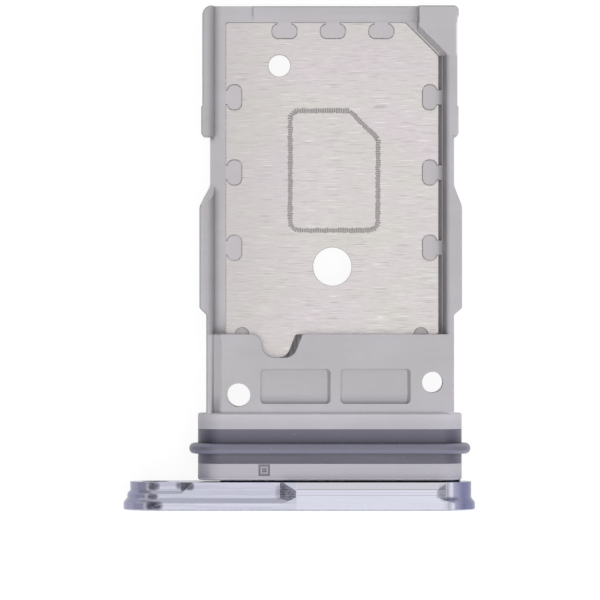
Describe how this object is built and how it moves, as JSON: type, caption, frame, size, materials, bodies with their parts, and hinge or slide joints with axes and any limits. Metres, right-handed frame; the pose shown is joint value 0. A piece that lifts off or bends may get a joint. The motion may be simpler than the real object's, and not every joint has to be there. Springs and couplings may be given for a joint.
{
  "type": "sim card tray",
  "caption": "Flat two-sided SIM card tray for a phone, with a moulded frame round a steel plate, a rubber seal and a metal bezel with an eject hole.",
  "frame": {"origin": "centre of the bezel's outside face", "axes": "+Y the way the tray goes into the phone, +Z out of the first card bay, +X to the right of the bay with its finger relief nearest the bezel; the eject hole is at the -X end"},
  "size_m": [0.0138, 0.0197, 0.0026],
  "materials": {
    "moulded_plastic": "fine matte moulded, warm light grey",
    "stainless_plate": "brushed across the tray",
    "seal_rubber": "smooth moulded, slate grey",
    "anodised_bezel": "bead-blasted and anodised face, machined back, pale lavender"
  },
  "bodies": {
    "root": {"carrier_frame": "moulded_plastic", "steel_plate": "stainless_plate", "seal_ring": "seal_rubber", "bezel": "anodised_bezel"}
  },
  "joints": []
}
